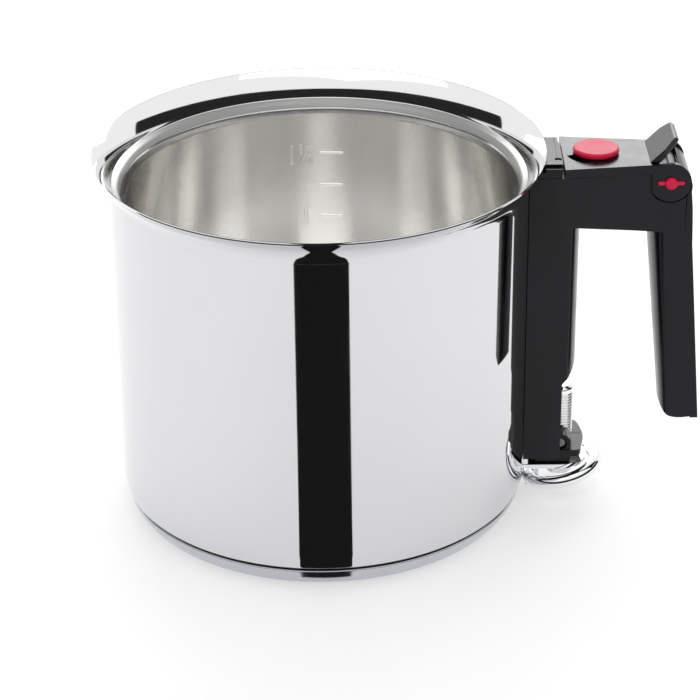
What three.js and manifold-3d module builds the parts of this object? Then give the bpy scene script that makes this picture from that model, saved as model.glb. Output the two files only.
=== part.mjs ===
// Double-walled melting pot (bain-marie pot) with a clamp-on handle, filling
// flap, whistle and hanging ring.  Millimetres, +Z up.  The origin is the
// centre of the underside of the base, on the pot's axis; the handle points
// along +X.
import * as THREE from 'three';
import { mergeVertices } from 'three/addons/utils/BufferGeometryUtils.js';
import Module from 'manifold-3d';

// ---------------------------------------------------------------- dimensions
const SEG = 64;             // segments round the pot
const R_LIP = 86.0;         // outer edge of the pouring rim
const H = 147.7;            // top of the rim
const R_OUT = 80.5;         // outside of the outer shell
const T_SHELL = 0.8;        // sheet thickness
const R_IN = 74.5;          // inside of the inner shell
const Z_FLOOR = 28.0;       // inner floor
const Z_SHELL0 = 8.9;       // underside of the outer shell
const R_CLEAR = 81.4;       // handle's saddle radius against the wall
const PORT_Z = 130.0;       // axis of the water filling port
const PORT_RI = 4.2, PORT_RO = 5.1;
const WELL_X = 104.9;       // axis of the filling well and of the whistle
const NECK_SCREW = [90.0, -8.3];   // axis of the neck cover's screw (x, y)
const W_POST = 16.0;        // half width of the handle's post
const W_GRIP = 12.1;        // half width at the grip
const Z_DECK = 141.0;       // top of the handle body, under the flap
const Z_FLAP0 = 141.3, Z_FLAP1 = 145.0;
const PIN_X = 132.4, PIN_Z = 137.7, PIN_R = 2.5, EAR_R = 7.7;
const LEAN = 0.08;          // outward lean of the grip
const STUD_X = 94.6;        // axis of the clamp stud
const RING_X = 95.4, RING_Z = 9.0, RING_R = 14.0, RING_W = 2.7, RING_TILT = 14; // degrees

// ------------------------------------------------------------------- helpers
const wasm = await Module();
wasm.setup();
const V2 = (x, y) => new THREE.Vector2(x, y);

function solid(geo) {
  let g = geo.index ? geo.toNonIndexed() : geo.clone();
  for (const n of Object.keys(g.attributes)) if (n !== 'position') g.deleteAttribute(n);
  g = mergeVertices(g, 1e-4);
  const p = g.attributes.position, idx = g.index.array;
  const tri = [];
  for (let i = 0; i < idx.length; i += 3) {
    const [a, b, c] = [idx[i], idx[i + 1], idx[i + 2]];
    if (a !== b && b !== c && a !== c) tri.push(a, b, c);
  }
  let v = 0;
  const q = (i) => new THREE.Vector3().fromBufferAttribute(p, i);
  for (let i = 0; i < tri.length; i += 3) v += q(tri[i]).dot(q(tri[i + 1]).cross(q(tri[i + 2])));
  if (v < 0) for (let i = 0; i < tri.length; i += 3) [tri[i + 1], tri[i + 2]] = [tri[i + 2], tri[i + 1]];
  return new wasm.Manifold(new wasm.Mesh({
    numProp: 3, vertProperties: Float32Array.from(p.array), triVerts: Uint32Array.from(tri) }));
}
function geometry(m) {
  const mesh = m.getMesh();
  const g = new THREE.BufferGeometry();
  g.setAttribute('position', new THREE.BufferAttribute(Float32Array.from(mesh.vertProperties), 3));
  g.setIndex(new THREE.BufferAttribute(Uint32Array.from(mesh.triVerts), 1));
  g.computeVertexNormals();
  return g;
}
const add = (...m) => m.reduce((a, b) => a.add(b));
const cut = (a, ...m) => m.reduce((x, b) => x.subtract(b), a);

// closed profile of [radius, height] pairs turned about Z
function turned(profile, seg = SEG, x = 0, y = 0) {
  const first = profile[0], last = profile[profile.length - 1];
  const pts = profile.map(([r, z]) => V2(Math.max(r, 0), z));
  if (!(first[0] === 0 && last[0] === 0)) pts.push(pts[0].clone());
  const g = new THREE.LatheGeometry(pts, seg);
  g.rotateX(Math.PI / 2);
  g.translate(x, y, 0);
  return solid(g);
}
const rod = (r, z0, z1, x, y, seg = 24) => turned([[0, z0], [r, z0], [r, z1], [0, z1]], seg, x, y);
const pipe = (ri, ro, z0, z1, x, y, seg = 24) => turned([[ri, z0], [ro, z0], [ro, z1], [ri, z1]], seg, x, y);
function shapeOf(pts, holes = []) {
  const s = new THREE.Shape(pts.map(([a, b]) => V2(a, b)));
  for (const h of holes) s.holes.push(new THREE.Path(h.map(([a, b]) => V2(a, b))));
  return s;
}
// outline in XY, extruded along Z
function slabZ(pts, z0, z1) {
  const g = new THREE.ExtrudeGeometry(shapeOf(pts), { depth: z1 - z0, bevelEnabled: false });
  g.translate(0, 0, z0);
  return solid(g);
}
// outline in XZ, extruded along Y
function slabY(pts, y0, y1, holes) {
  const g = new THREE.ExtrudeGeometry(shapeOf(pts, holes), { depth: y1 - y0, bevelEnabled: false });
  g.rotateX(Math.PI / 2);            // (x, y, z) -> (x, -z, y)
  g.translate(0, y1, 0);
  return solid(g);
}
const box = (x0, x1, y0, y1, z0, z1) => {
  const g = new THREE.BoxGeometry(x1 - x0, y1 - y0, z1 - z0);
  g.translate((x0 + x1) / 2, (y0 + y1) / 2, (z0 + z1) / 2);
  return solid(g);
};
// cylinder along X or Y
const rodX = (r, x0, x1, y, z, seg = 24) => {
  const g = new THREE.CylinderGeometry(r, r, x1 - x0, seg);
  g.rotateZ(Math.PI / 2); g.translate((x0 + x1) / 2, y, z);
  return solid(g);
};
const rodY = (r, y0, y1, x, z, seg = 24) => {
  const g = new THREE.CylinderGeometry(r, r, y1 - y0, seg);
  g.translate(x, (y0 + y1) / 2, z);
  return solid(g);
};
const arc = (cx, cy, r, a0, a1, n) => Array.from({ length: n + 1 }, (_, i) => {
  const a = (a0 + (a1 - a0) * i / n) * Math.PI / 180;
  return [cx + r * Math.cos(a), cy + r * Math.sin(a)];
});

const steel = { color: 0xc9cacb, roughness: 0.12, metalness: 1.0 };
const satin = { color: 0xb9bbbd, roughness: 0.35, metalness: 1.0 };
const alu = { color: 0xb4b6b9, roughness: 0.45, metalness: 1.0 };
const chrome = { color: 0xdadcde, roughness: 0.06, metalness: 1.0 };
const black = { color: 0x232327, roughness: 0.38, metalness: 0.0 };
const red = { color: 0xb3123a, roughness: 0.35, metalness: 0.0 };
const grey = { color: 0x8d8f92, roughness: 0.8, metalness: 0.0 };
const brassy = { color: 0xb59a4d, roughness: 0.3, metalness: 1.0 };

const part = new THREE.Group();
part.name = 'melting_pot';
function node(name, m, mat, parent = part) {
  const mesh = new THREE.Mesh(geometry(m), new THREE.MeshStandardMaterial(mat));
  mesh.name = name;
  parent.add(mesh);
  return mesh;
}

// ------------------------------------------------------------------ pot body
// pouring rim: trumpet flare from the crease to the lip, 0.85 mm sheet
const flareAt = (r, deg) => [97.65 - r * Math.sin(deg * Math.PI / 180), 132.57 + r * Math.cos(deg * Math.PI / 180)];
const flareTop = [...[74, 66, 58, 50, 43].map(d => flareAt(18.98, d)), [86.0, H]];
const flareUnder = [[85.95, 146.95], ...[45, 52, 60, 66].map(d => flareAt(18.23, d)), [80.6, 138.9], [80.5, 137.3]];
const inner = turned([
  [0, Z_FLOOR], [68.0, Z_FLOOR], [73.0, 31.2], [R_IN, 37.0],
  [R_IN, 132.0], [75.2, 134.4], [76.9, 136.2], [79.1, 137.3], ...flareTop,
  ...flareUnder, [79.6, 136.7], [77.2, 135.4], [75.9, 133.9], [75.3, 132.0],
  [75.3, 36.8], [73.6, 30.6], [68.2, 27.1], [0, 27.1]]);
node('inner_shell', inner, satin);

node('shell_floor', turned([[0, Z_SHELL0], [77.8, Z_SHELL0], [77.8, 9.9], [0, 9.9]]), satin);
let outer = turned([
  [77.9, Z_SHELL0], [78.9, Z_SHELL0], [80.1, 11.0], [R_OUT, 15.5], [R_OUT, 136.6],
  [R_OUT - T_SHELL, 136.6], [R_OUT - T_SHELL, 15.8], [79.2, 11.4], [77.9, 9.9]]);
outer = cut(outer, rodX(PORT_RO + 0.3, 76, 84, 0, PORT_Z, 20));
node('outer_shell', outer, steel);

node('base_core', turned([[0, 1.1], [73.0, 1.1], [75.6, 3.3], [77.2, 6.0], [77.8, 8.5], [0, 8.5]], SEG), alu);
node('base_cap', turned([
  [0, 0], [74.2, 0], [76.3, 1.6], [78.1, 4.6], [79.1, 8.6], [78.2, 8.6],
  [77.5, 5.6], [75.9, 2.9], [73.3, 0.8], [0, 0.8]], SEG), steel);

// water filling port: a stub tube through the outer wall
node('fill_port', cut(rodX(PORT_RO, 77.6, 92.6, 0, PORT_Z, 20), rodX(PORT_RI, 77, 93, 0, PORT_Z, 20)), satin);
node('port_seal', cut(rodX(6.9, 84.0, 90.5, 0, PORT_Z, 20), rodX(PORT_RO + 0.15, 83, 91, 0, PORT_Z, 20)), grey);

// ------------------------------------------------------------------- handle
// clearance volume of wall and rim
const wallCut = turned([[0, -5], [R_CLEAR, -5], [R_CLEAR, 138.0], ...[66, 60, 54, 48, 42].map(d => flareAt(17.7, d)),
  [86.7, 146.6], [86.8, 150], [0, 150]], 96);

const nose = (x0, x1, w, n = 8) => arc(0, 0, 1, -90, 90, n).map(([c, s]) => [x0 + (x1 - x0) * c, w * s]);
// post, with a rounded inner side towards the fingers
const post = slabZ([[76, W_POST], [76, -W_POST], ...nose(94.2, 99.4, W_POST)], 57.2, 126);
const postLow = slabZ([[76, W_POST - 0.0], [76, -W_POST], [93.6, -W_POST], [93.6, W_POST]], 20.4, 58);
// bridge, tapered in plan
const bridgeSide = slabY([[78, 112], [94.2, 112], [94.2, 120.7], [131.5, 117.0], [137.3, 117.0], [137.3, 141.9],
  ...arc(132.6, 136.4, 7.4, 51, 104, 5), [127.6, 142.2], [126.3, Z_DECK], [78, Z_DECK]], -17, 17);
const bridgePlan = slabZ([[76, W_POST], [76, -W_POST], [94, -W_POST], [124.2, -W_GRIP - 0.2], [140.5, -W_GRIP + 0.2],
  [140.5, W_GRIP - 0.2], [124.2, W_GRIP + 0.2], [94, W_POST]], 100, 150);
let bridge = bridgeSide.intersect(bridgePlan);
// grip: leaning section with a rounded inner side
const shear = new THREE.Matrix4().set(1, 0, -LEAN, LEAN * 111, 0, 1, 0, 0, 0, 0, 1, 0, 0, 0, 0, 1);
function gripPart(pts, z0, z1) {
  const g = new THREE.ExtrudeGeometry(shapeOf(pts), { depth: z1 - z0, bevelEnabled: false });
  g.translate(0, 0, z0);
  g.applyMatrix4(shear);
  return solid(g);
}
const wg = W_GRIP - 0.1;
let grip = gripPart([[138.7, -wg], [138.7, wg], ...nose(130.6, 126.2, wg, 8).reverse()], 36.9, 138.5);
// rounded lower inner corner of the grip
const gripToe = slabY([[120, 30], [139.0, 30], [139.0, 36.95], [136.0, 37.3], [134.2, 38.6], [133.0, 41.0], [132.5, 44], [120, 44]], -20, 20);
grip = cut(grip, gripToe);
let body = add(post, postLow, bridge, grip);
// chamfer under the rounded inner side
body = cut(body, slabY([[93.65, 53.0], [101, 53.0], [101, 61.6], [99.6, 61.0]], -17, 17));
// channel for stud, strap and block, open towards the fingers below the chamfer
body = cut(body,
  box(84.2, 101, -12.7, 12.7, 15, 54.5),
  slabZ([[84.2, -9], [96.5, -9], [96.5, 9], [84.2, 9]], 54, 58),
  wallCut);
// filling well and water passage
body = cut(body,
  rod(5.2, 124.6, 150, WELL_X, 0, 24),
  rod(8.6, 136.4, 150, WELL_X, 0, 28),
  rodX(5.2, 78, WELL_X, 0, PORT_Z, 20),
  rodX(7.15, 78, 91.2, 0, PORT_Z, 20));
// hinge pocket for the spring, pin bore and recesses for the flap's ears
body = cut(body,
  box(127.4, 136.1, -8.4, 8.4, 131.6, 150),
  rodY(PIN_R + 0.3, -20, 20, PIN_X, PIN_Z, 20),
  rodY(EAR_R + 0.4, -20, -10.8, PIN_X, PIN_Z, 32),
  rodY(EAR_R + 0.4, 10.8, 20, PIN_X, PIN_Z, 32),
  box(124.4, 137, -20, -10.8, 137.7, 150), box(124.4, 137, 10.8, 20, 137.7, 150));
// bores of the cover screws, counter-sunk from the finger side of the grip
for (const z of [60, 112]) body = cut(body, rodX(1.5, 122, 148, 0, z, 12), rodX(3.1, 118, 130.4 + LEAN * (111 - z), 0, z, 16));
// screw hole of the neck cover and of the upper bracket
body = cut(body, rod(1.15, 132, 142, NECK_SCREW[0], NECK_SCREW[1], 16));
// pocket of the upper bracket
body = cut(body, box(80, 84.4, -11.2, 11.2, 84, 118), box(80, 84.4, -11.2, 11.2, 15, 36));
node('handle_body', body, black);

// outer strip of the grip
const coverSide = slabY([[138.95 + LEAN * 111 - LEAN * 36.5, 36.5], [141.9 + LEAN * 111 - LEAN * 36.5, 36.5],
  [141.9 + LEAN * 111 - LEAN * 128, 128], [140.4, 134.0], ...arc(132.6, 136.4, 7.8, 4, 46, 5), [137.6, 141.6],
  [138.95 + LEAN * 111 - LEAN * 128, 128]], -20, 20);
let cover = coverSide.intersect(slabY([[100, 30], [160, 30], [160, 150], [100, 150]], -11.2, 11.2));
for (const z of [60, 112]) cover = cut(cover, rodX(1.2, 136, 140.6 + LEAN * (111 - z), 0, z, 12));
node('grip_cover', cover, black);
// two self-tapping screws from the finger side
{
  const two = [60, 112].map((z) => {
    const xh = 128.1 + LEAN * (111 - z), xe = 140.2 + LEAN * (111 - z);
    return add(rodX(2.7, xh, xh + 1.9, 0, z, 16), rodX(1.1, xh + 1.5, xe, 0, z, 10));
  });
  node('grip_screw_upper', two[1], steel);
  node('grip_screw_lower', two[0], steel);
}

// neck cover: the small plate between rim and flap, with its screws
let neck = add(slabZ([[79, -15.9], [91.2, -15.9], [91.2, 15.9], [79, 15.9]], 141.2, 144.8),
  slabZ([[79, -13.3], [91.5, -13.3], [91.6, 5.5], [91.2, 9.1], [90.6, 12.4], [90.3, 13.3], [79, 13.3]], 144.0, 145.8));
neck = cut(neck, wallCut, rod(1.35, 140, 148, NECK_SCREW[0], NECK_SCREW[1], 16),
  slabZ([[88.5, -6.2], [89.9, -5.4], [89.9, 13.5], [88.5, 13.5]], 145.5, 148));
node('neck_cover', neck, black);
node('neck_screw', add(rod(1.2, 144.4, 145.3, NECK_SCREW[0], NECK_SCREW[1], 16), rod(0.9, 133.5, 144.6, NECK_SCREW[0], NECK_SCREW[1], 12)), steel);

// upper bracket: a plate welded to the wall that the post hooks over
{
  const ring = turned([[R_OUT + 0.05, 87], [R_OUT + 1.3, 87], [R_OUT + 1.3, 115], [R_OUT + 0.05, 115]], 120);
  let plate = ring.intersect(box(70, 90, -10.5, 10.5, 80, 120));
  plate = add(plate, box(81.0, 83.9, -6, 6, 90, 96).subtract(turned([[0, 0], [R_OUT + 0.9, 0], [R_OUT + 0.9, 140], [0, 140]], 120)));
  node('upper_bracket', plate, satin);
}

// lower bracket: a tongue welded to the wall under the clamp block
{
  let tongue = slabZ([[78, -10.8], ...arc(STUD_X, 0, 10.8, -90, 90, 12), [78, 10.8]], 13.0, 14.8);
  tongue = add(tongue, turned([[R_OUT + 0.05, 13.6], [R_OUT + 1.6, 13.6], [R_OUT + 1.6, 34], [R_OUT + 0.05, 34]], 120).intersect(box(70, 90, -10.5, 10.5, 10, 40)));
  tongue = cut(tongue, turned([[0, 0], [R_OUT + 0.05, 0], [R_OUT + 0.05, 60], [0, 60]], 120), rod(3.3, 10, 20, STUD_X, 0, 20));
  node('lower_bracket', tongue, satin);
}

// clamp stud with the parts on it
node('clamp_stud', turned([[0, 6.2], [3.0, 6.2], [3.0, 24.3], [4.95, 24.3], [4.95, 44.4], [4.5, 45.5], [3.4, 46.2], [0, 46.2]], 28, STUD_X, 0), steel);
node('clamp_nut', cut(rod(5.8, 7.4, 11.6, STUD_X, 0, 6), rod(3.15, 6, 13, STUD_X, 0, 20)), steel);
node('clamp_washer', pipe(3.4, 7.2, 11.8, 12.8, STUD_X, 0, 24), steel);
// black block that the stud pulls up against the bracket: a plate with a bulging end,
// an arched rib along Y round the stud, and a hub underneath
{
  const end = [[99.6, -12.6], [101.4, -12.0], [102.4, -10.2], [103.2, -6.6], [103.9, -2.5]];
  const plan = [[84.6, -12.6], ...end, ...end.map(([x, y]) => [x, -y]).reverse(), [84.6, 12.6]];
  const rib = slabY([[90.1, 21.0], [98.1, 21.0], ...arc(94.1, 25.4, 4.0, 0, 180, 10)], -12.2, 12.2);
  let b = add(slabZ(plan, 19.6, 22.5), slabZ([[84.6, -9], [98.4, -9], [98.4, 9], [84.6, 9]], 15.1, 20.0), rib);
  b = cut(b, rod(3.3, 15, 40, STUD_X, 0, 20), rod(5.2, 24.0, 40, STUD_X, 0, 24), rodY(2.3, -13, -8.4, 94.1, 25.2, 20),
    turned([[0, 0], [R_OUT + 2.0, 0], [R_OUT + 2.0, 140], [0, 140]], 120));
  node('clamp_block', b, black);
  node('block_pin', rodY(2.1, -11.6, -8.6, 94.1, 25.2, 20), steel);
}

// --------------------------------------------------------------- hanging ring
const ringGroup = new THREE.Group();
{
  const pts = [];
  for (let i = 0; i <= 10; i++) { const a = i / 10 * 2 * Math.PI; pts.push(V2(RING_R + RING_W * Math.cos(a), RING_W * Math.sin(a))); }
  pts[10] = pts[0].clone();
  const g = new THREE.LatheGeometry(pts, 36);
  g.rotateX(Math.PI / 2);
  g.rotateY(-RING_TILT * Math.PI / 180);
  g.translate(RING_X, 0, RING_Z);
  node('hanging_ring', solid(g), chrome);
}
const tilt = RING_TILT * Math.PI / 180;
const HINGE_X = RING_X - RING_R * Math.cos(tilt), HINGE_Z = RING_Z - RING_R * Math.sin(tilt);
// hook under the tongue that carries the ring
{
  const ri = RING_W + 0.45, ro = ri + 1.3;
  const hook = [[HINGE_X + ri, 12.7], [HINGE_X + ri, HINGE_Z], ...arc(HINGE_X, HINGE_Z, ri, -10, -100, 6),
    ...arc(HINGE_X, HINGE_Z, ro, -100, -10, 6), [HINGE_X + ro, HINGE_Z], [HINGE_X + ro, 12.7]];
  node('ring_hook', slabY(hook, -3, 3), steel);
}

// ---------------------------------------------------------------------- flap
// plate with two ears and the thumb lever
{
  const plan = slabZ([[91.8, -16.6], [125.2, -12.6], [128.2, -12.6], [128.2, 12.6], [125.2, 12.6], [91.8, 16.6]], Z_FLAP0, Z_FLAP1);
  let f = plan.intersect(slabY([[90, Z_FLAP0], [127.8, Z_FLAP0], [127.8, 143.0], [125.8, Z_FLAP1], [90, Z_FLAP1]], -20, 20));
  const ear = slabY([[118, Z_FLAP0], [124.9, Z_FLAP0], ...arc(PIN_X, PIN_Z, EAR_R, 200, 440, 20), [126.0, Z_FLAP1], [118, Z_FLAP1]], -12.9, 12.9)
    .subtract(box(110, 145, -11.2, 11.2, 120, 160));
  const lever = slabY([[124.4, 143.4], [126.6, 143.4], [135.2, 152.4], [134.9, 153.6], [133.8, 154.0], [124.4, 144.9]], -10.8, 10.8)
    .subtract(slabZ([[128, -10.9], [136, -10.9], [136, -6.6]], 140, 160))
    .subtract(slabZ([[128, 10.9], [136, 6.6], [136, 10.9]], 140, 160));
  f = add(f, ear, lever);
  f = cut(f, box(126.4, 130.0, -11.0, 11.0, 138, 143.0),
    rod(7.2, 138, 148, WELL_X, 0, 28), rodY(PIN_R + 0.02, -20, 20, PIN_X, PIN_Z, 20),
    slabZ([...arc(WELL_X, 0, 11.4, 196, 248, 8), ...arc(WELL_X, 0, 6.0, 248, 196, 8)], 143.4, 146));
  // seats of the pin's wings in the near ear
  f = cut(f, box(PIN_X - 6.3, PIN_X + 6.3, -14, -12.3, PIN_Z - 0.8, PIN_Z + 0.8));
  node('flap', f, black);
}
// hinge pin with wings, turned to lock
{
  let p = add(rodY(2.2, -14.0, 14.7, PIN_X, PIN_Z, 20), rodY(2.35, -17.0, -12.2, PIN_X, PIN_Z, 24),
    box(PIN_X - 6.0, PIN_X + 6.0, -13.6, -12.6, PIN_Z - 0.5, PIN_Z + 0.5));
  p = cut(p, rodY(2.6, 13.05, 13.95, PIN_X, PIN_Z, 20).subtract(rodY(1.7, 13, 14, PIN_X, PIN_Z, 20)));
  node('hinge_pin', p, red);
  node('pin_clip', cut(rodY(3.7, 13.1, 13.9, PIN_X, PIN_Z, 20), rodY(1.8, 13, 14, PIN_X, PIN_Z, 20)), steel);
}
// torsion spring in the hinge pocket
{
  const pts = [];
  const n = 5 * 14;
  for (let i = 0; i <= n; i++) {
    const a = i / 14 * 2 * Math.PI;
    pts.push(new THREE.Vector3(PIN_X + 3.05 * Math.cos(a), -5.6 + 11.2 * i / n, PIN_Z + 3.05 * Math.sin(a)));
  }
  const path = new THREE.CatmullRomCurve3(pts);
  const sec = new THREE.Shape(arc(0, 0, 0.5, 0, 288, 4).map(([a, b]) => V2(a, b)));
  const g = new THREE.ExtrudeGeometry(sec, { steps: 66, extrudePath: path, bevelEnabled: false });
  node('flap_spring', solid(g), steel);
}

// ------------------------------------------------------------ whistle and seat
node('valve_seat', turned([[5.4, 136.7], [8.3, 136.7], [8.3, 138.2], [5.4, 138.2]], 28, WELL_X, 0), brassy);
node('seat_seal', turned([[5.4, 138.4], [8.2, 138.4], [8.2, 139.6], [5.4, 139.6]], 28, WELL_X, 0), grey);
node('whistle_body', turned([[1.6, 139.9], [6.9, 139.9], [6.9, 145.1], [1.6, 145.1]], 28, WELL_X, 0), black);
node('whistle_cap', turned([[0, 145.4], [8.2, 145.4], [8.8, 146.0], [8.8, 146.9], [8.2, 147.5], [0, 147.5]], 32, WELL_X, 0), red);
node('whistle_reed', turned([[0.6, 143.6], [1.35, 143.6], [1.35, 145.0], [0.6, 145.0]], 16, WELL_X, 0), brassy);

export default part;
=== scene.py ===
import math

import bmesh
import bpy
from mathutils import Matrix, Vector


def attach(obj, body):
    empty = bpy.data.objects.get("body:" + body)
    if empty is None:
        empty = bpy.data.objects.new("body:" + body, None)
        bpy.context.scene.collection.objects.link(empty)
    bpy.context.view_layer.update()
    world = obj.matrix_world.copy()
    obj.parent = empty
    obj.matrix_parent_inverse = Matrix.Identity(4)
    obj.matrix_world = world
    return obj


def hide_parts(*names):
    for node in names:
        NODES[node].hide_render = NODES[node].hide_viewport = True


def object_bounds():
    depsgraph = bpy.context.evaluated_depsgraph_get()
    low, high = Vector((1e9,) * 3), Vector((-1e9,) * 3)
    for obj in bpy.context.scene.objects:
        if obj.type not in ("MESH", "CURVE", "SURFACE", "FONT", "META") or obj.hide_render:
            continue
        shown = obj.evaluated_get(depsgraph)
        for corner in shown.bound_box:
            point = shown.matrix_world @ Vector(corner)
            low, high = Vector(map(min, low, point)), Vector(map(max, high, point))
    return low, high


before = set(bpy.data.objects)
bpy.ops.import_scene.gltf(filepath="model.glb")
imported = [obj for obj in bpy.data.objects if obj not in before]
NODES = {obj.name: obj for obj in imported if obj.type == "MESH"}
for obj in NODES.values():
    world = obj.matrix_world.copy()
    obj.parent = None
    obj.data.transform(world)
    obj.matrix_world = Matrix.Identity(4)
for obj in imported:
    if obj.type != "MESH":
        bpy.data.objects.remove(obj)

lo0, hi0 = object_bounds()
scene = bpy.context.scene
MM = 0.001
PI = math.pi

# ------------------------------------------------------------------ camera
YAW, PITCH, ROLL = 0.0126, -0.476, -0.0111
PHI = math.radians(1.1)
cy, sy, cp, sp = math.cos(YAW), math.sin(YAW), math.cos(PITCH), math.sin(PITCH)
f_ = Vector((sy * cp, cy * cp, sp))
r_ = Vector((cy, -sy, 0.0))
u_ = r_.cross(f_)
cr, sr = math.cos(ROLL), math.sin(ROLL)
r2, u2 = cr * r_ + sr * u_, -sr * r_ + cr * u_
Rz = Matrix.Rotation(PHI, 3, "Z")
f_, r2, u2 = Rz @ f_, Rz @ r2, Rz @ u2
cam_data = bpy.data.cameras.new("camera")
cam = bpy.data.objects.new("camera", cam_data)
scene.collection.objects.link(cam)
cam_data.lens, cam_data.sensor_width, cam_data.sensor_fit = 125.85, 36.0, "HORIZONTAL"
cam_data.clip_start, cam_data.clip_end = 0.05, 40.0
pos = Rz @ Vector((0.0, -0.8594, 0.5045))
m = Matrix((r2, u2, -f_)).transposed().to_4x4()
m.translation = pos
cam.matrix_world = m
scene.camera = cam
CAM_AZ = math.atan2(pos.y, pos.x)      # where the camera stands round the pot


# --------------------------------------------------------------- mesh helpers
def link(name, mesh):
    o = bpy.data.objects.new(name, mesh)
    scene.collection.objects.link(o)
    return o


def shade(o, angle=33):
    me = o.data
    for p in me.polygons:
        p.use_smooth = True
    me.set_sharp_from_angle(angle=math.radians(angle))


def from_bm(name, bm, angle=33):
    bmesh.ops.recalc_face_normals(bm, faces=bm.faces)
    me = bpy.data.meshes.new(name)
    bm.to_mesh(me)
    bm.free()
    o = link(name, me)
    shade(o, angle)
    return o


def mesh(name, verts, faces, angle=33):
    """verts in millimetres"""
    bm = bmesh.new()
    vs = [bm.verts.new(Vector(v) * MM) for v in verts]
    for f in faces:
        try:
            bm.faces.new([vs[i] for i in f])
        except ValueError:
            pass
    return from_bm(name, bm, angle)


def arc(cx, cy_, r, a0, a1, n):
    return [(cx + r * math.cos(math.radians(a0 + (a1 - a0) * i / n)),
             cy_ + r * math.sin(math.radians(a0 + (a1 - a0) * i / n))) for i in range(n + 1)]


def rounded(pts, closed=True, n=5):
    """pts: (x, y) or (x, y, radius); corners with a radius become arcs"""
    out = []
    k = len(pts)
    for i, p in enumerate(pts):
        r = p[2] if len(p) > 2 else 0.0
        if r <= 0 or (not closed and i in (0, k - 1)):
            out.append((p[0], p[1]))
            continue
        a, b = Vector(pts[i - 1][:2]), Vector(pts[(i + 1) % k][:2])
        c = Vector(p[:2])
        da, db = (a - c), (b - c)
        la, lb = da.length, db.length
        da.normalize(); db.normalize()
        ang = math.acos(max(-1, min(1, da.dot(db))))
        if ang > PI - 0.02:
            out.append((c.x, c.y))
            continue
        t = min(r / math.tan(ang / 2), la * 0.49 if len(pts[i - 1]) > 2 else la * 0.95,
                lb * 0.49 if len(pts[(i + 1) % k]) > 2 else lb * 0.95)
        rr = t * math.tan(ang / 2)
        mid = (da + db).normalized()
        ctr = c + mid * (rr / math.sin(ang / 2))
        p0, p1 = c + da * t, c + db * t
        a0, a1 = math.atan2(p0.y - ctr.y, p0.x - ctr.x), math.atan2(p1.y - ctr.y, p1.x - ctr.x)
        d = (a1 - a0 + PI) % (2 * PI) - PI
        for j in range(n + 1):
            aa = a0 + d * j / n
            out.append((ctr.x + rr * math.cos(aa), ctr.y + rr * math.sin(aa)))
    return out


def lathe(name, profile, seg=256, closed=True, cx=0.0, cy_=0.0, angle=33):
    """profile of (r, z) in mm turned about the Z axis through (cx, cy_); long straight runs get
    support rings near their ends, so that their shading stays flat"""
    ends = list(zip(profile, profile[1:])) + ([(profile[-1], profile[0])] if closed else [])
    dense = []
    for (r0, z0), (r1, z1) in ends:
        dense.append((r0, z0))
        ln = math.hypot(r1 - r0, z1 - z0)
        if ln > 2.4:
            cuts = [0.25, 0.9] + [0.9 + (ln - 1.8) * i / max(1, int(ln / 8)) for i in range(1, max(1, int(ln / 8)))] + [ln - 0.9, ln - 0.25]
            dense += [(r0 + (r1 - r0) * c / ln, z0 + (z1 - z0) * c / ln) for c in cuts]
    if not closed:
        dense.append(profile[-1])
    profile = dense
    bm = bmesh.new()
    rings = []
    for r, z in profile:
        if r < 1e-6:
            rings.append([bm.verts.new(Vector((cx, cy_, z)) * MM)])
        else:
            rings.append([bm.verts.new(Vector((cx + r * math.cos(2 * PI * i / seg),
                                               cy_ + r * math.sin(2 * PI * i / seg), z)) * MM) for i in range(seg)])
    pairs = list(zip(rings, rings[1:])) + ([(rings[-1], rings[0])] if closed else [])
    for a, b in pairs:
        if len(a) == 1 and len(b) == 1:
            continue
        for i in range(seg):
            j = (i + 1) % seg
            if len(a) == 1:
                bm.faces.new((a[0], b[i], b[j]))
            elif len(b) == 1:
                bm.faces.new((a[i], b[0], a[j]))
            else:
                bm.faces.new((a[i], b[i], b[j], a[j]))
    return from_bm(name, bm, angle)


def prism(name, poly, a, b, axis="Z", top=None, angle=33):
    """polygon in mm extruded from a to b along an axis; top: another polygon of the same length"""
    top = top or poly

    def place(p, t):
        if axis == "Z":
            return (p[0], p[1], t)
        if axis == "Y":
            return (p[0], t, p[1])
        return (t, p[0], p[1])
    n = len(poly)
    verts = [place(p, a) for p in poly] + [place(p, b) for p in top]
    faces = [tuple(range(n))[::-1], tuple(range(n, 2 * n))]
    faces += [(i, (i + 1) % n, n + (i + 1) % n, n + i) for i in range(n)]
    return mesh(name, verts, faces, angle)


def box(name, x0, x1, y0, y1, z0, z1):
    return prism(name, [(x0, y0), (x1, y0), (x1, y1), (x0, y1)], z0, z1)


def rod(name, r, a, b, c0, c1, axis="Z", seg=48):
    return prism(name, [(c0 + r * math.cos(2 * PI * i / seg), c1 + r * math.sin(2 * PI * i / seg)) for i in range(seg)], a, b, axis)


def bake(o):
    """the object's modifiers become its mesh"""
    dg = bpy.context.evaluated_depsgraph_get()
    me = bpy.data.meshes.new_from_object(o.evaluated_get(dg))
    old = o.data
    o.modifiers.clear()
    o.data = me
    if old.users == 0:
        bpy.data.meshes.remove(old)
    return o


def drop(o):
    me = o.data
    bpy.data.objects.remove(o)
    if me.users == 0:
        bpy.data.meshes.remove(me)


def boolean(o, others, op="DIFFERENCE"):
    if not isinstance(others, (list, tuple)):
        others = [others]
    for c in others:
        md = o.modifiers.new("b", "BOOLEAN")
        md.operation, md.solver, md.object = op, "EXACT", c
        bake(o)
        drop(c)
    bm = bmesh.new()
    bm.from_mesh(o.data)
    bmesh.ops.remove_doubles(bm, verts=bm.verts, dist=2e-6)
    bmesh.ops.dissolve_degenerate(bm, edges=bm.edges, dist=2e-6)
    bm.to_mesh(o.data)
    bm.free()
    return o


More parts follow.
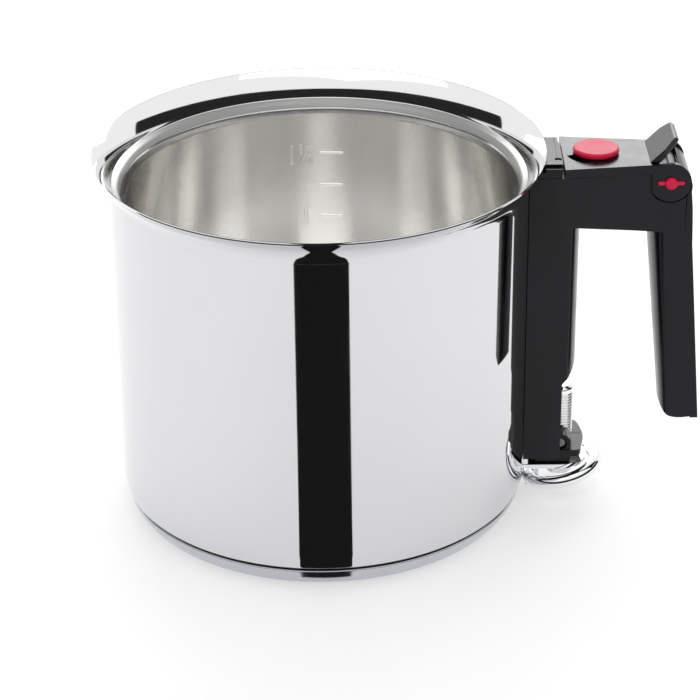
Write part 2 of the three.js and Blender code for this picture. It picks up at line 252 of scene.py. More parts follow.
def bevel(o, width=0.4, segs=3, angle=35, smooth_angle=40):
    md = o.modifiers.new("bv", "BEVEL")
    md.width, md.segments, md.limit_method = width * MM, segs, "ANGLE"
    md.angle_limit = math.radians(angle)
    md.use_clamp_overlap = True
    md.miter_outer = "MITER_ARC"
    bake(o)
    shade(o, smooth_angle)
    FLAT.add(o.name)
    return o


FLAT = set()        # pieces whose large faces shade flat


def joined(name, objs, angle=40):
    bm = bmesh.new()
    for o in objs:
        bm.from_mesh(o.data)
    for o in objs:
        drop(o)
    me = bpy.data.meshes.new(name)
    bm.to_mesh(me)
    bm.free()
    o = link(name, me)
    shade(o, angle)
    FLAT.add(o.name)
    return o


# ------------------------------------------------------------------ materials
def principled(name, base, metallic=0.0, rough=0.3, **kw):
    mt = bpy.data.materials.new(name)
    mt.use_nodes = True
    nt = mt.node_tree
    b = nt.nodes["Principled BSDF"]
    b.inputs["Base Color"].default_value = (*base, 1)
    b.inputs["Metallic"].default_value = metallic
    b.inputs["Roughness"].default_value = rough
    for k, v in kw.items():
        b.inputs[k].default_value = v
    return mt, nt, b


def coords(nt, scale=(1, 1, 1)):
    tc = nt.nodes.new("ShaderNodeTexCoord")
    mp = nt.nodes.new("ShaderNodeMapping")
    mp.inputs["Scale"].default_value = scale
    nt.links.new(tc.outputs["Object"], mp.inputs["Vector"])
    return mp.outputs["Vector"]


def noise(nt, vec, scale, detail=3.0, rough=0.5):
    n = nt.nodes.new("ShaderNodeTexNoise")
    n.inputs["Scale"].default_value = scale
    n.inputs["Detail"].default_value = detail
    n.inputs["Roughness"].default_value = rough
    nt.links.new(vec, n.inputs["Vector"])
    return n.outputs["Fac"]


def remap(nt, fac, a0, a1, b0, b1):
    r = nt.nodes.new("ShaderNodeMapRange")
    r.inputs["From Min"].default_value = a0
    r.inputs["From Max"].default_value = a1
    r.inputs["To Min"].default_value = b0
    r.inputs["To Max"].default_value = b1
    nt.links.new(fac, r.inputs["Value"])
    return r.outputs["Result"]


def tint(nt, fac, c0, c1):
    mx = nt.nodes.new("ShaderNodeMix")
    mx.data_type = "RGBA"
    mx.inputs["A"].default_value = (*c0, 1)
    mx.inputs["B"].default_value = (*c1, 1)
    nt.links.new(fac, mx.inputs["Factor"])
    return mx.outputs["Result"]


def bump(nt, height, strength, distance, normal=None):
    b = nt.nodes.new("ShaderNodeBump")
    b.inputs["Strength"].default_value = strength
    b.inputs["Distance"].default_value = distance
    nt.links.new(height, b.inputs["Height"])
    if normal is not None:
        nt.links.new(normal, b.inputs["Normal"])
    return b.outputs["Normal"]


def metal(name, base, rough, var=0.03, brush=None, brush_depth=0.0, wave=0.0, dark=0.9, round_=0.0):
    mt, nt, b = principled(name, base, 1.0, rough)
    if round_:                      # brushed in circles about Z: highlights are drawn out along Z
        tg = nt.nodes.new("ShaderNodeTangent")
        tg.direction_type, tg.axis = "RADIAL", "Z"
        nt.links.new(tg.outputs["Tangent"], b.inputs["Tangent"])
        b.inputs["Anisotropic"].default_value = round_
        b.inputs["Anisotropic Rotation"].default_value = 0.25
    v = coords(nt)
    cloud = noise(nt, v, 22, 4)
    nt.links.new(tint(nt, remap(nt, cloud, 0.3, 0.7, 0, 1), tuple(c * dark for c in base), base), b.inputs["Base Color"])
    smear = noise(nt, v, 60, 5, 0.65)
    nt.links.new(remap(nt, smear, 0.3, 0.7, max(0.0, rough - var), rough + var), b.inputs["Roughness"])
    nrm = None
    if wave:
        nrm = bump(nt, noise(nt, v, 9, 1), 1.0, wave)
    if brush:
        bv = coords(nt, brush)
        nrm = bump(nt, noise(nt, bv, 1.0, 4, 0.7), 1.0, brush_depth, nrm)
    if nrm is not None:
        nt.links.new(nrm, b.inputs["Normal"])
    return mt


def plastic(name, base, rough, spec=0.5, grain=0.000004, light=1.6):
    mt, nt, b = principled(name, base, 0.0, rough)
    b.inputs["Specular IOR Level"].default_value = spec
    v = coords(nt)
    cloud = noise(nt, v, 35, 4)
    nt.links.new(tint(nt, remap(nt, cloud, 0.3, 0.75, 0, 1), base, tuple(min(1, c * light) for c in base)), b.inputs["Base Color"])
    nt.links.new(remap(nt, noise(nt, v, 110, 5, 0.6), 0.3, 0.7, rough - 0.04, rough + 0.05), b.inputs["Roughness"])
    fine = noise(nt, v, 2600, 2)
    nrm = bump(nt, fine, 1.0, grain)
    nrm = bump(nt, noise(nt, v, 60, 2), 1.0, grain * 10, nrm)
    nt.links.new(nrm, b.inputs["Normal"])
    return mt


M = {}
M["polished_steel"] = metal("polished_steel", (0.69, 0.69, 0.70), 0.04, 0.01, (40, 40, 900), 0.0000006, 0.00003, 0.985)
# a dark copy of the inner steel: painted shade on the ledge just under the rim crease
M["ledge_painted_shade"] = metal("ledge_painted_shade", (0.30, 0.298, 0.29), 0.26, 0.02, None, 0.0, 0.0, 0.96)
M["pin_dark"] = metal("pin_dark", (0.16, 0.16, 0.165), 0.3, 0.03)
M["brushed_inner"] = metal("brushed_inner", (0.82, 0.815, 0.80), 0.17, 0.008, (20, 20, 1600), 0.0000009, 0.0, 0.99, 0.85)
M["mark_steel"] = metal("mark_steel", (0.90, 0.895, 0.88), 0.24, 0.02, None, 0.0, 0.0, 0.98)
M["rim_steel"] = metal("rim_steel", (0.86, 0.86, 0.865), 0.06, 0.015, (60, 60, 1500), 0.0000012, 0.0, 0.985)
M["stud_steel"] = metal("stud_steel", (0.93, 0.93, 0.93), 0.16, 0.03, None, 0.0, 0.0, 0.96)
M["base_steel"] = metal("base_steel", (0.60, 0.62, 0.66), 0.24, 0.05, (40, 40, 2200), 0.000006, 0.0, 0.9)
M["core_aluminium"] = metal("core_aluminium", (0.70, 0.71, 0.72), 0.4, 0.05)
M["bracket_steel"] = metal("bracket_steel", (0.74, 0.74, 0.75), 0.12, 0.04, (900, 60, 60), 0.000002, 0.0, 0.93)
M["screw_steel"] = metal("screw_steel", (0.70, 0.70, 0.71), 0.2, 0.05)
M["ring_chrome"] = metal("ring_chrome", (0.88, 0.89, 0.90), 0.035, 0.012, None, 0.0, 0.00001, 0.985)
M["black_handle"] = plastic("black_handle", (0.0035, 0.0035, 0.0052), 0.22, 0.24)
M["black_flap"] = plastic("black_flap", (0.0050, 0.0050, 0.0068), 0.24, 0.5)
M["red_plastic"] = plastic("red_plastic", (0.50, 0.008, 0.045), 0.30, 0.2, 0.000003, 1.12)
M["seal_rubber"] = plastic("seal_rubber", (0.30, 0.30, 0.31), 0.7, 0.3, 0.00001, 1.2)
M["seat_brass"] = metal("seat_brass", (0.70, 0.55, 0.26), 0.2, 0.04)


def piece(o, body, mat, slot, *replaced):
    o.data.materials.clear()
    o.data.materials.append(M[mat])
    if o.name in FLAT:
        wn = o.modifiers.new("flat", "WEIGHTED_NORMAL")
        wn.keep_sharp = True
        wn.weight = 90
    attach(o, body)
    if replaced:
        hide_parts(*replaced)
    return o


# ------------------------------------------------------------------- pot body
R_IN, R_OUT = 74.5, 80.5
def flare_at(r, deg):
    a = math.radians(deg)
    return (97.65 - r * math.sin(a), 132.57 + r * math.cos(a))


flare_top = [flare_at(18.98, 74 - 36 * i / 24) for i in range(25)]
lip = [(86.0, 147.62), (86.05, 147.52), (86.06, 147.36), (86.02, 147.2), (85.93, 147.05)]
flare_under = [flare_at(18.23, 39.5 + 27.5 * i / 18) for i in range(19)]
blend = [(80.73, 139.2), (80.62, 138.6), (80.55, 138.0), (80.51, 137.3), (80.5, 136.9)]
inner = rounded([(0, 28), (68.0, 28.0, 18), (74.5, 34.8, 14), (74.5, 131.6, 3), (75.2, 134.2, 4), (77.0, 136.2, 4), (79.2, 137.25, 0.4),
                 flare_top[0]], closed=False, n=8)
under = [(80.35, 136.75), (79.6, 136.5), (77.5, 135.6), (76.0, 134.0), (75.3, 131.6), (75.3, 36.2), (74.9, 33.4), (73.4, 30.6), (71.0, 28.4), (68.2, 27.2), (0, 27.1)]
liner = lathe("pot_inner", inner + flare_top[1:] + lip + flare_under + blend + under, 288, closed=False, angle=28)
piece(liner, "pot", "brushed_inner", "brushed_inner", "inner_shell")
liner.data.materials.append(M["rim_steel"])
liner.data.materials.append(M["polished_steel"])
liner.data.materials.append(M["ledge_painted_shade"])
for p in liner.data.polygons:
    r, z = math.hypot(p.center.x, p.center.y) / MM, p.center.z / MM
    # upward faces of the ledge under the crease take the dark steel copy: painted shade in the crease
    if 134.3 < z < 137.2 and r < 79.15 and p.normal.z > 0.05:
        p.material_index = 3
    elif z > 137.1 and r < 90 and p.normal.z > 0:
        p.material_index = 1
    elif z > 136.8 and r > 80.4 and p.normal.z <= 0.02:
        p.material_index = 2
    else:
        p.material_index = 0

outer = lathe("pot_outer", rounded([(0, 8.95), (78.4, 8.95, 0.8), (80.0, 10.6, 1.5), (80.5, 15.5, 8), (80.5, 136.9, 0.03), (79.75, 136.9, 0.2),
                                    (79.7, 15.6, 8), (78.8, 11.0, 1.5), (77.6, 9.9, 0.8), (0, 9.9)], closed=False, n=6), 288, closed=False)
piece(outer, "pot", "polished_steel", "polished_steel", "outer_shell", "shell_floor")

cap = lathe("base_capsule", rounded([(0, 0), (66.0, 0, 2), (68.0, 0.35, 1), (73.6, 0.35, 2.5), (76.4, 2.4, 3.5), (78.4, 5.6, 4), (79.1, 8.2, 0.6), (78.7, 8.6, 0.3),
                                     (78.0, 8.6, 0.2), (77.9, 7.9), (77.2, 5.4), (75.2, 2.6), (73.0, 1.0), (0, 1.0)], closed=False, n=5), 256, closed=False)
piece(cap, "pot", "base_steel", "base_steel", "base_cap")


# volume marks, pressed through the inner wall
def wrap(o, r=R_IN):
    for v in o.data.vertices:
        x, y, z = v.co / MM
        a = x / r
        rr = r - y
        v.co = Vector((rr * math.sin(a), rr * math.cos(a), z)) * MM
    return o


def mark_bar(x0, x1, z, w=1.25, h=0.42):
    bm = bmesh.new()
    n, k = 24, 8
    rows = []
    for i in range(n + 1):
        t = i / n
        x = x0 + (x1 - x0) * t
        e = min(1.0, math.sqrt(max(0.0, 1 - max(0.0, (abs(t - 0.5) * 2 - 0.88) / 0.12) ** 2)))
        row = []
        for j in range(k + 1):
            s = -1 + 2 * j / k
            row.append(bm.verts.new(Vector((x, h * math.cos(s * PI / 2) ** 0.8 * e - 0.05, z + s * w / 2 * max(e, 0.15))) * MM))
        rows.append(row)
    for i in range(n):
        for j in range(k):
            bm.faces.new((rows[i][j], rows[i + 1][j], rows[i + 1][j + 1], rows[i][j + 1]))
    rim = [e for e in bm.edges if e.is_boundary]
    bmesh.ops.contextual_create(bm, geom=rim)
    return wrap(from_bm("bar", bm, 60))


def glyph(text, x, z, size, h=0.36):
    cu = bpy.data.curves.new("t", "FONT")
    cu.body = text
    cu.size = size * MM
    cu.extrude = h / 2 * MM
    cu.bevel_depth = 0.16 * MM
    cu.bevel_resolution = 2
    cu.resolution_u = 8
    cu.offset = -0.06 * MM
    t = link("t", cu)
    bpy.context.view_layer.update()
    dg = bpy.context.evaluated_depsgraph_get()
    me = bpy.data.meshes.new_from_object(t.evaluated_get(dg))
    bpy.data.objects.remove(t)
    bpy.data.curves.remove(cu)
    xs = [v.co.x for v in me.vertices]
    ys = [v.co.y for v in me.vertices]
    x0, y0 = min(xs), min(ys)
    for v in me.vertices:
        px, py, pz = v.co
        v.co = Vector((px - x0 + x * MM, pz + (h / 2) * MM, py - y0 + z * MM))
    o = link("g", me)
    bm = bmesh.new()
    bm.from_mesh(me)
    bmesh.ops.remove_doubles(bm, verts=bm.verts, dist=1e-6)
    bmesh.ops.subdivide_edges(bm, edges=[e for e in bm.edges if e.calc_length() > 0.0015], cuts=1)
    bmesh.ops.recalc_face_normals(bm, faces=bm.faces)
    bm.to_mesh(me)
    bm.free()
    shade(o, 50)
    return wrap(o)


marks = [mark_bar(-1.8, 8.4, 86.4), mark_bar(-1.8, 8.4, 100.5), mark_bar(-1.8, 8.7, 114.7),
         glyph("1", -8.0, 82.2, 11.0), glyph("1", -13.6, 110.0, 12.0), glyph("1", -9.4, 114.6, 5.8), glyph("/", -8.6, 111.0, 9.6), glyph("2", -6.4, 110.0, 5.8)]
marks = joined("volume_marks", marks, 45)
piece(marks, "pot", "mark_steel", "brushed_inner")

# --------------------------------------------------------------------- handle
LEAN = 0.08
lean = lambda z: LEAN * (111 - z)
WP, WG = 16.0, 12.15


def half_width(x):
    t = max(0.0, min(1.0, (x - 90.0) / 37.0))
    s = t * t * (3 - 2 * t)
    return WP + (WG - WP) * (0.35 * t + 0.65 * s) if t < 1 else WG


def plan(r_left=80.68, x1=150.0):
    near = [(x, -half_width(x)) for x in [88, 91, 94, 97, 100, 103, 106, 109, 112, 115, 118, 121, 124, 127, 130, 140, x1]]
    far = [(x, -y) for x, y in reversed(near)]
    left = [(math.sqrt(r_left ** 2 - y * y), y) for y in [16, 12, 8, 4, 0, -4, -8, -12, -16]]
    return near + far + left


def nose(x0, x1, w, n=20):
    return [(x0 + (x1 - x0) * math.cos(a), w * math.sin(a)) for a in [math.radians(-90 + 180 * i / n) for i in range(n + 1)]]


side = [(78, 20.4), (93.6, 20.4), (93.6, 53.4), (99.9, 61.4), (116, 61.4), (116, 43.2), (131.6, 43.2), (132.3, 41.4), (133.2, 39.8), (134.4, 38.5),
        (135.9, 37.6), (137.6, 37.0), (139.6, 36.7), (141.6, 36.7), (144.85, 37.1), (138.95, 109.5), (138.5, 120), (138.45, 128)]
side += arc(131.9, 135.6, 7.05, -18, 96, 16)
side += [(127.4, 142.2), (126.4, 141.0), (78, 141.0)]
handle = prism("handle", side, -18, 18, "Y")
boolean(handle, prism("c", plan(), 0, 160), "INTERSECT")


# window between post and grip: its two upright sides are rounded
def window(z0, slope_top):
    n = 28
    lft = [(94.2, -19)] + nose(94.2, 99.4, 16.0, n) + [(94.2, 19)]

    def right_side(z):
        flat_x, tip_x = 131.0 + 0.068 * (111 - z), 125.8 + 0.103 * (111 - z)
        return [(flat_x, 19)] + [(x, y) for x, y in reversed(nose(flat_x, tip_x, 12.05, n))] + [(flat_x, -19)]
    verts = [(x, y, z0) for x, y in lft + right_side(z0)]
    pts = lft + right_side(117.4)
    verts += [(x, y, slope_top(x)) for x, y in pts]
    m_ = len(pts)
    faces = [tuple(range(m_))[::-1], tuple(range(m_, 2 * m_))] + [(i, (i + 1) % m_, m_ + (i + 1) % m_, m_ + i) for i in range(m_)]
    return mesh("w", verts, faces)


boolean(handle, window(10.0, lambda x: 120.8 - (x - 94.2) * 0.108))
# channel for the stud and the block
boolean(handle, [box("c", 84.2, 101, -12.8, 12.8, 15, 54.0),
                 rod("c", 8.5, -20, -10.9, 132.4, 137.7, "Y", 64),
                 rod("c", 8.5, 10.9, 20, 132.4, 137.7, "Y", 64),
                 box("c", 124.4, 141, -20, -10.9, 137.7, 150), box("c", 124.4, 141, 10.9, 20, 137.7, 150),
                 box("c", 127.6, 136.2, -8.4, 8.4, 131.6, 140.4),
                 box("c", 127.0, 132.2, -10.4, 10.4, 141.3, 150),
                 box("c", 80, 84.4, -11.2, 11.2, 84, 118), box("c", 80, 84.4, -11.2, 11.2, 15, 36),
                 rod("c", 5.3, 124.8, 139, 104.9, 0), rod("c", 8.7, 136.3, 150, 104.9, 0),
                 prism("c", arc(0, 130, 7.3, 0, 350, 35), 78, 91.3, "X"), prism("c", arc(0, 130, 5.3, 0, 350, 35), 78, 104, "X")])
# facet on the foot of the post, turned a little inwards
boolean(handle, [mesh("c", [(88.4, -15.99, 15), (95, -14.75, 15), (95, -17, 15), (88.4, -17, 15),
                            (88.4, -15.99, 37), (95, -14.75, 37), (95, -17, 37), (88.4, -17, 37)],
                      [(3, 2, 1, 0), (4, 5, 6, 7), (0, 1, 5, 4), (1, 2, 6, 5), (2, 3, 7, 6), (3, 0, 4, 7)])])
bevel(handle, 0.4, 3, 38)
piece(handle, "pot", "black_handle", "black_handle", "handle_body")

# outer strip of the grip
strip_side = [(144.72, 36.5), (141.9 + lean(36.5), 36.5), (141.9 + lean(60), 60), (141.9 + lean(90), 90), (141.85 + lean(112), 112), (141.5, 120), (141.15, 127)]
strip_side += arc(131.9, 135.6, 8.75, -12, 64, 14)
strip_side += arc(131.9, 135.6, 7.35, 64, -18, 14)
strip_side += [(138.55, 120), (138.9, 109.4)]
strip = prism("grip_strip", strip_side, -12.05, 12.05, "Y")
boolean(strip, [rod("c", 8.2, -20, -10.95, 132.4, 137.7, "Y", 64), rod("c", 8.2, 10.95, 20, 132.4, 137.7, "Y", 64)])
bevel(strip, 0.55, 4, 50)
piece(strip, "pot", "black_handle", "black_handle", "grip_cover")

# neck cover: a stepped block between rim and flap, with a shallow trough that ends at a small screw
SX, SY = 90.0, -8.3
neck = prism("neck", [(85.0, -15.9), (91.2, -15.9), (91.2, 15.9), (85.0, 15.9)], 141.2, 144.8)
boolean(neck, prism("n", [(84.0, -13.3), (91.5, -13.3), (91.62, -8), (91.65, 0), (91.6, 5.5), (91.2, 9.1), (90.6, 12.4), (90.3, 13.3), (84.0, 13.3)], 144.0, 145.8), "UNION")
boolean(neck, prism("n", [(80.0, -15.9), (86.0, -15.9), (86.0, 15.9), (80.0, 15.9)], 141.2, 143.4), "UNION")
boolean(neck, lathe("c", [(0, 130), (81.1, 130), (81.1, 138.0)] + [flare_at(17.75, d) for d in (66, 62, 58, 54, 50, 46, 42)] +
                    [(86.75, 146.6), (86.8, 150), (0, 150)], 192, False))
boolean(neck, [rod("c", 1.35, 143.6, 150, SX, SY, seg=40),
               prism("c", rounded([(88.5, -7.6, 0.5), (89.7, -6.6, 0.5), (89.9, 13.9), (88.5, 13.9)], True, 4), 145.35, 150)])
bevel(neck, 0.28, 3, 38)
piece(neck, "pot", "black_handle", "black_handle", "neck_cover")
screw = lathe("neck_screw_head", rounded([(0, 144.6), (0.45, 144.6), (0.62, 145.05), (0.95, 145.2, 0.2), (1.18, 144.9, 0.15), (1.18, 143.7), (0.85, 143.6), (0.85, 134), (0, 133.6)], False, 3), 40, False, SX, SY)
piece(screw, "pot", "screw_steel", "screw_steel", "neck_screw")

# ----------------------------------------------------------------- clamp parts
end = [(99.6, -12.6), (100.6, -12.45), (101.5, -11.9), (102.1, -11.0), (102.6, -9.4), (103.2, -6.6), (103.65, -3.8), (103.9, -1.3)]
blk = prism("block", [(84.6, -12.6)] + end + [(x, -y) for x, y in reversed(end)] + [(84.6, 12.6)], 19.6, 22.5)
boolean(blk, [prism("r", [(90.1, 21.0), (98.1, 21.0)] + arc(94.1, 25.4, 4.0, 0, 180, 24), -12.2, 12.2, "Y"),
              prism("h", [(84.6, -9), (98.4, -9), (98.4, 9), (84.6, 9)], 15.1, 20.0)], "UNION")
boolean(blk, [rod("c", 3.35, 10, 30, 94.6, 0), rod("c", 5.15, 24.0, 50, 94.6, 0, seg=64), rod("c", 2.6, -13, -10.6, 94.1, 25.2, "Y"),
              rod("c", 2.3, -13, -8.4, 94.1, 25.2, "Y"), box("c", 98.3, 110, 1.2, 1.5, 22.3, 24)])
bevel(blk, 0.35, 3, 35)
piece(blk, "pot", "black_handle", "black_handle", "clamp_block")
bpin = rod("block_pin_head", 2.1, -11.5, -8.6, 94.1, 25.2, "Y", 40)
bevel(bpin, 0.4, 3, 40)
piece(bpin, "pot", "pin_dark", "bracket_steel", "block_pin")


def thread(name, cx, cy_, r0, r1, z0, z1, pitch=1.0, seg=56, sub=10):
    """an outside thread; the two ends run out to the core radius"""
    bm = bmesh.new()
    rows = int((z1 - z0) / pitch * sub)
    prev = None
    first = None
    for k in range(rows + 1):
        z = z0 + (z1 - z0) * k / rows
        edge = min(1.0, (z - z0) / 0.8, (z1 - z) / 0.8)
        row = []
        for i in range(seg):
            a = 2 * PI * i / seg
            ph = ((z - z0) / pitch - i / seg) % 1.0
            tri = 1 - abs(2 * ph - 1)                     # 0..1..0
            h = max(0.0, min(1.0, (tri - 0.12) / 0.68))
            r = r0 + (r1 - r0) * h * max(0.0, edge)
            row.append(bm.verts.new(Vector((cx + r * math.cos(a), cy_ + r * math.sin(a), z)) * MM))
        if prev:
            for i in range(seg):
                j = (i + 1) % seg
                bm.faces.new((prev[i], prev[j], row[j], row[i]))
        else:
            first = row
        prev = row
    bm.faces.new(first[::-1])
    bm.faces.new(prev)
    return from_bm(name, bm, 60)


shank = thread("shank", 94.6, 0, 2.42, 3.0, 6.2, 24.6)
thick = thread("thick", 94.6, 0, 4.55, 4.95, 24.3, 43.4, 1.25, 72, 12)
cap_end = lathe("cap_end", rounded([(0, 42.6), (4.55, 42.6), (4.75, 43.4, 0.3), (4.95, 44.0, 0.3), (4.8, 45.1, 1.2), (3.4, 46.2, 0.7), (0, 46.2)], False, 6), 72, False, 94.6, 0)
stud = joined("stud", [shank, thick, cap_end], 60)
piece(stud, "pot", "stud_steel", "bracket_steel", "clamp_stud")


def hexnut(name, af, z0, z1, cx, cy_, hole):
    r = af / 2 / math.cos(PI / 6)
    n = prism(name, [(cx + r * math.cos(PI / 3 * i), cy_ + r * math.sin(PI / 3 * i)) for i in range(6)], z0, z1)
    cone = lathe("c", [(0, z0), (af / 2 * 0.985, z0), (r * 1.01, z0 + (r - af / 2) * 0.62), (r * 1.01, z1 - (r - af / 2) * 0.62), (af / 2 * 0.985, z1), (0, z1)], 96, False, cx, cy_)
    boolean(n, cone, "INTERSECT")
    boolean(n, rod("c", hole, z0 - 1, z1 + 1, cx, cy_))
    return bevel(n, 0.15, 2, 38)


piece(hexnut("nut_lower", 10.0, 7.4, 11.6, 94.6, 0, 3.15), "pot", "bracket_steel", "bracket_steel", "clamp_nut")

# tongue under the block: a disc-ended plate on a back plate bent up along the wall
tongue_plan = arc(94.6, 0, 10.8, -90, 90, 28) + [(math.sqrt(80.6 ** 2 - y * y), y) for y in (10.8, 7, 3.5, 0, -3.5, -7, -10.8)]
tongue = prism("tongue", tongue_plan, 13.0, 14.8)
back = prism("b", [(math.sqrt(82.1 ** 2 - y * y), y) for y in (-10.5, -7, -3.5, 0, 3.5, 7, 10.5)] +
             [(math.sqrt(80.6 ** 2 - y * y), y) for y in (10.5, 7, 3.5, 0, -3.5, -7, -10.5)], 13.6, 34.0)
boolean(tongue, back, "UNION")
boolean(tongue, rod("c", 3.3, 10, 20, 94.6, 0))
bevel(tongue, 0.35, 3, 38)
piece(tongue, "pot", "ring_chrome", "bracket_steel", "lower_bracket")

# ------------------------------------------------------------------------ ring
RX, RZ, RR, RW, TILT = 95.4, 9.0, 14.0, 2.7, math.radians(14)


def split_ring(name, cut_deg, gap=0.32):
    bm = bmesh.new()
    n, k = 120, 32
    g = gap / RR / 2
    rings = []
    st = [0.0, 0.18, 0.45] + [0.45 + (n - 0.9) * i / (n - 6) for i in range(1, n - 6)] + [n - 0.45, n - 0.18, n]
    for s in st:
        t = s / n
        a = math.radians(cut_deg) + g + (2 * PI - 2 * g) * t
        d = min(s, n - s) * (2 * PI / n) * RR
        sh = 0.28
        e = 1.0 if d > sh else 1 - (0.28 / RW) * (1 - math.sqrt(max(0, 1 - (1 - d / sh) ** 2)))
        c = Vector((RR * math.cos(a), RR * math.sin(a), 0))
        u = Vector((math.cos(a), math.sin(a), 0))
        ring = []
        for j in range(k):
            b = 2 * PI * j / k
            p = c + u * (RW * e * math.cos(b)) + Vector((0, 0, RW * e * math.sin(b)))
            q = Vector((p.x * math.cos(TILT) - p.z * math.sin(TILT), p.y, p.x * math.sin(TILT) + p.z * math.cos(TILT)))
            ring.append(bm.verts.new(Vector((q.x + RX, q.y, q.z + RZ)) * MM))
        rings.append(ring)
    for a, b in zip(rings, rings[1:]):
        for j in range(k):
            bm.faces.new((a[j], a[(j + 1) % k], b[(j + 1) % k], b[j]))
    bm.faces.new(rings[0][::-1])
    bm.faces.new(rings[-1])
    return from_bm(name, bm, 50)


ring = split_ring("ring", 212)
piece(ring, "ring", "ring_chrome", "ring_chrome", "hanging_ring")

# ------------------------------------------------------------------------ flap
PX, PZ, WX = 132.4, 137.7, 104.9
slope = lambda x: 16.6 + (x - 91.8) * (12.6 - 16.6) / (125.2 - 91.8)
# plate with a faint ridge along its middle
verts, faces = [], []
xs = [92.2, 125.4, 128.2]
rows = []
for x in xs:
    w = 12.6 if x > 125.2 else slope(x)
    zt = 145.0 if x < 126 else 143.2
    rows.append([(x, -w, 141.3), (x, -w, zt - 0.12), (x, 0, zt), (x, w, zt - 0.12), (x, w, 141.3), (x, 0, 141.3)])
for r in rows:
    verts += r
for i in range(len(rows) - 1):
    for j in range(6):
        faces.append((i * 6 + j, (i + 1) * 6 + j, (i + 1) * 6 + (j + 1) % 6, i * 6 + (j + 1) % 6))
faces += [tuple(range(6)), tuple(range(12, 18))[::-1]]
plate = mesh("plate", verts, faces)
ears = prism("ears", [(118, 141.35), (124.9, 141.35)] + arc(PX, PZ, 7.7, 208, 442, 48) + [(126.2, 144.6), (118, 144.6)], -12.95, 12.95, "Y")
boolean(ears, box("c", 110, 145, -11.2, 11.2, 120, 160))
boolean(plate, ears, "UNION")
boolean(plate, [rod("c", 7.25, 138, 148, WX, 0, "Z", 64), rod("c", 2.52, -20, 20, PX, PZ, "Y", 40),
                prism("c", arc(WX, 0, 11.6, 194, 243, 12) + arc(WX, 0, 6.4, 243, 194, 8), 143.2, 146),
                prism("c", arc(WX, 0, 10.2, 243, 252, 3) + arc(WX, 0, 6.4, 252, 243, 3), 143.2, 146),
                box("c", PX - 5.3, PX + 5.3, -14, -12.25, PZ - 0.95, PZ + 0.95)])
bevel(plate, 0.4, 3, 38)
lev_side = rounded([(124.6, 144.0), (126.9, 143.7, 1.0), (135.5, 152.6, 0.8), (134.0, 154.0, 0.5), (133.2, 153.8, 0.3), (124.6, 145.3)], True, 4)
lever = prism("lever", lev_side, -10.8, 10.8, "Y")
boolean(lever, [prism("c", [(129.5, -11), (137, -11), (137, -5.6)], 140, 160), prism("c", [(129.5, 11), (137, 5.6), (137, 11)], 140, 160)])
bevel(lever, 0.45, 3, 30)
flap = joined("flap_plate", [plate, lever])
piece(flap, "flap", "black_flap", "black_flap", "flap")
flap.data.materials.append(M["black_handle"])
for p in flap.data.polygons:
    if abs(p.normal.z) < 0.3 and abs(p.normal.y) > 0.5:
        p.material_index = len(flap.data.materials) - 1

# red pin with two wings
pin = rod("pin", 2.35, -14.4, 14.7, PX, PZ, "Y", 56)
bevel(pin, 0.55, 4, 40)
wings = prism("w", rounded([(PX - 5.1, PZ - 0.75, 0.6), (PX + 5.1, PZ - 0.75, 0.6), (PX + 5.1, PZ + 0.75, 0.6), (PX - 5.1, PZ + 0.75, 0.6)], True, 4), -13.6, -12.5, "Y")
bevel(wings, 0.25, 3, 50)
pin = joined("pin_red", [pin, wings])
piece(pin, "flap", "red_plastic", "red_plastic", "hinge_pin")

disc = lathe("whistle_button", rounded([(0, 145.1), (8.1, 145.1, 0.4), (8.8, 145.8, 0.6), (8.8, 146.9, 0.7), (8.0, 147.45, 0.9), (0, 147.5)], False, 5), 128, False, WX, 0)
piece(disc, "whistle", "red_plastic", "red_plastic", "whistle_cap")

# ------------------------------------------------- CAD nodes that stay in view
KEEP = {"base_core": "core_aluminium", "fill_port": "brushed_inner", "port_seal": "seal_rubber", "grip_screw_upper": "screw_steel",
        "grip_screw_lower": "screw_steel", "upper_bracket": "bracket_steel",
        "clamp_washer": "bracket_steel", "ring_hook": "bracket_steel", "pin_clip": "bracket_steel", "flap_spring": "bracket_steel",
        "valve_seat": "seat_brass", "seat_seal": "seal_rubber", "whistle_body": "black_flap", "whistle_reed": "seat_brass"}
for n, mt in KEEP.items():
    o = NODES[n]
    for s in o.material_slots:
        s.material = M[mt]
    if n not in ("flap_spring", "base_core", "whistle_reed"):
        md = o.modifiers.new("edge", "BEVEL")
        md.width, md.segments, md.limit_method, md.angle_limit = 0.00012, 2, "ANGLE", math.radians(40)

# ------------------------------------------------------- floor, cards and light
def emitter(name, strength, colour=(1, 1, 1)):
    mt = bpy.data.materials.new(name)
    mt.use_nodes = True
    nt = mt.node_tree
    nt.nodes.clear()
    e = nt.nodes.new("ShaderNodeEmission")
    e.inputs["Color"].default_value = (*colour, 1)
    e.inputs["Strength"].default_value = strength
    o = nt.nodes.new("ShaderNodeOutputMaterial")
    nt.links.new(e.outputs[0], o.inputs[0])
    return mt


def card(name, verts, strength, colour=(1, 1, 1), diffuse=False, seen=False):
    me = bpy.data.meshes.new(name)
    me.from_pydata(verts, [], [tuple(range(len(verts)))])
    o = link(name, me)
    me.materials.append(emitter(name, strength, colour))
    o.visible_camera = seen
    o.visible_shadow = False
    o.visible_diffuse = diffuse
    return o


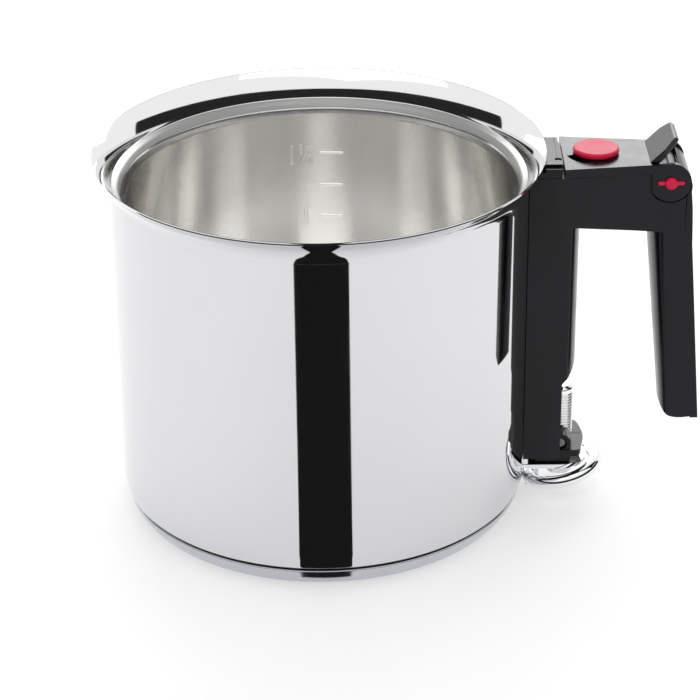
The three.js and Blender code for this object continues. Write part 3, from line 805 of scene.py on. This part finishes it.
floor_mat, nt, b = principled("floor", (0.93, 0.93, 0.935), 0.0, 0.6)
b.inputs["Specular IOR Level"].default_value = 0.1
v = coords(nt)
nt.links.new(tint(nt, remap(nt, noise(nt, v, 3, 3), 0.3, 0.7, 0, 1), (0.52, 0.52, 0.525), (0.54, 0.54, 0.545)), b.inputs["Base Color"])
b.inputs["Emission Color"].default_value = (1.0, 1.0, 1.0, 1)
b.inputs["Emission Strength"].default_value = 0.47
fl = bpy.data.meshes.new("floor")
fl.from_pydata([(-9, -9, 0), (9, -9, 0), (9, 9, 0), (-9, 9, 0)], [], [(0, 1, 2, 3)])
floor = link("floor", fl)
fl.materials.append(floor_mat)
floor.location.z = lo0[2]

# dark card: a wedge in front of the pot, seen only in its reflections
AZ = CAM_AZ


def at_az(az, r, z):
    return (r * math.cos(az), r * math.sin(az), z)


def wedge(half_deg, r_wall, d0, d1, z=0.0009):
    out = []
    h = math.radians(half_deg)
    for sgn in (-1, 1):
        a = AZ + sgn * h
        px, py = r_wall * math.cos(a), r_wall * math.sin(a)
        dx, dy = math.cos(AZ + 2 * sgn * h), math.sin(AZ + 2 * sgn * h)
        near, farp = (px + dx * d0, py + dy * d0, z), (px + dx * d1, py + dy * d1, z)
        out.append((near, farp))
    (n0, f0), (n1, f1) = out
    return [n0, f0, f1, n1]


card("card_front", wedge(7.3, 0.0805, -0.002, 2.9), 0.012)
# bright wall far behind the pot, seen only in reflections
card("card_back", [(-2.6, 3.0, 0.0), (-0.9, 3.0, 0.0), (-0.9, 3.0, 0.9), (-2.6, 3.0, 0.9)], 1.5)

# dark band round the studio, low above the horizon
band = bpy.data.meshes.new("card_horizon")
vs, fs = [], []
NB = 96
for i in range(NB + 1):
    off = -118 + 236 * i / NB
    a = AZ + math.radians(off)
    top = 1.85 - 0.55 * max(0.0, (abs(off) - 40) / 78) ** 1.3
    vs += [(3.0 * math.cos(a), 3.0 * math.sin(a), 0.02), (3.0 * math.cos(a), 3.0 * math.sin(a), top)]
for i in range(NB):
    fs.append((2 * i, 2 * i + 2, 2 * i + 3, 2 * i + 1))
band.from_pydata(vs, [], fs)
hb = link("card_horizon", band)
band.materials.append(emitter("card_horizon", 0.02))
hb.visible_camera = False
hb.visible_shadow = False
hb.visible_diffuse = False

w = bpy.data.worlds.new("studio")
scene.world = w
w.use_nodes = True
bg = w.node_tree.nodes["Background"]
bg.inputs["Color"].default_value = (1.0, 1.0, 1.0, 1)
bg.inputs["Strength"].default_value = 0.98


def area(name, loc, target, size, power, size_y=None):
    li = bpy.data.lights.new(name, "AREA")
    li.shape = "RECTANGLE"
    li.size, li.size_y = size, size_y or size
    li.energy = power
    o = bpy.data.objects.new(name, li)
    scene.collection.objects.link(o)
    o.location = loc
    o.rotation_euler = (Vector(target) - Vector(loc)).to_track_quat("-Z", "Y").to_euler()
    return o


area("softbox_back", (0.15, 2.2, 1.3), (0, 0, 0.1), 2.6, 30.0, 1.1)
area("softbox_top", (-0.3, -0.2, 2.4), (0, 0, 0), 2.2, 5.0)

scene.view_settings.view_transform = "Standard"
scene.view_settings.look = "None"
scene.cycles.use_denoising = True
scene.cycles.max_bounces = 16
scene.cycles.glossy_bounces = 12
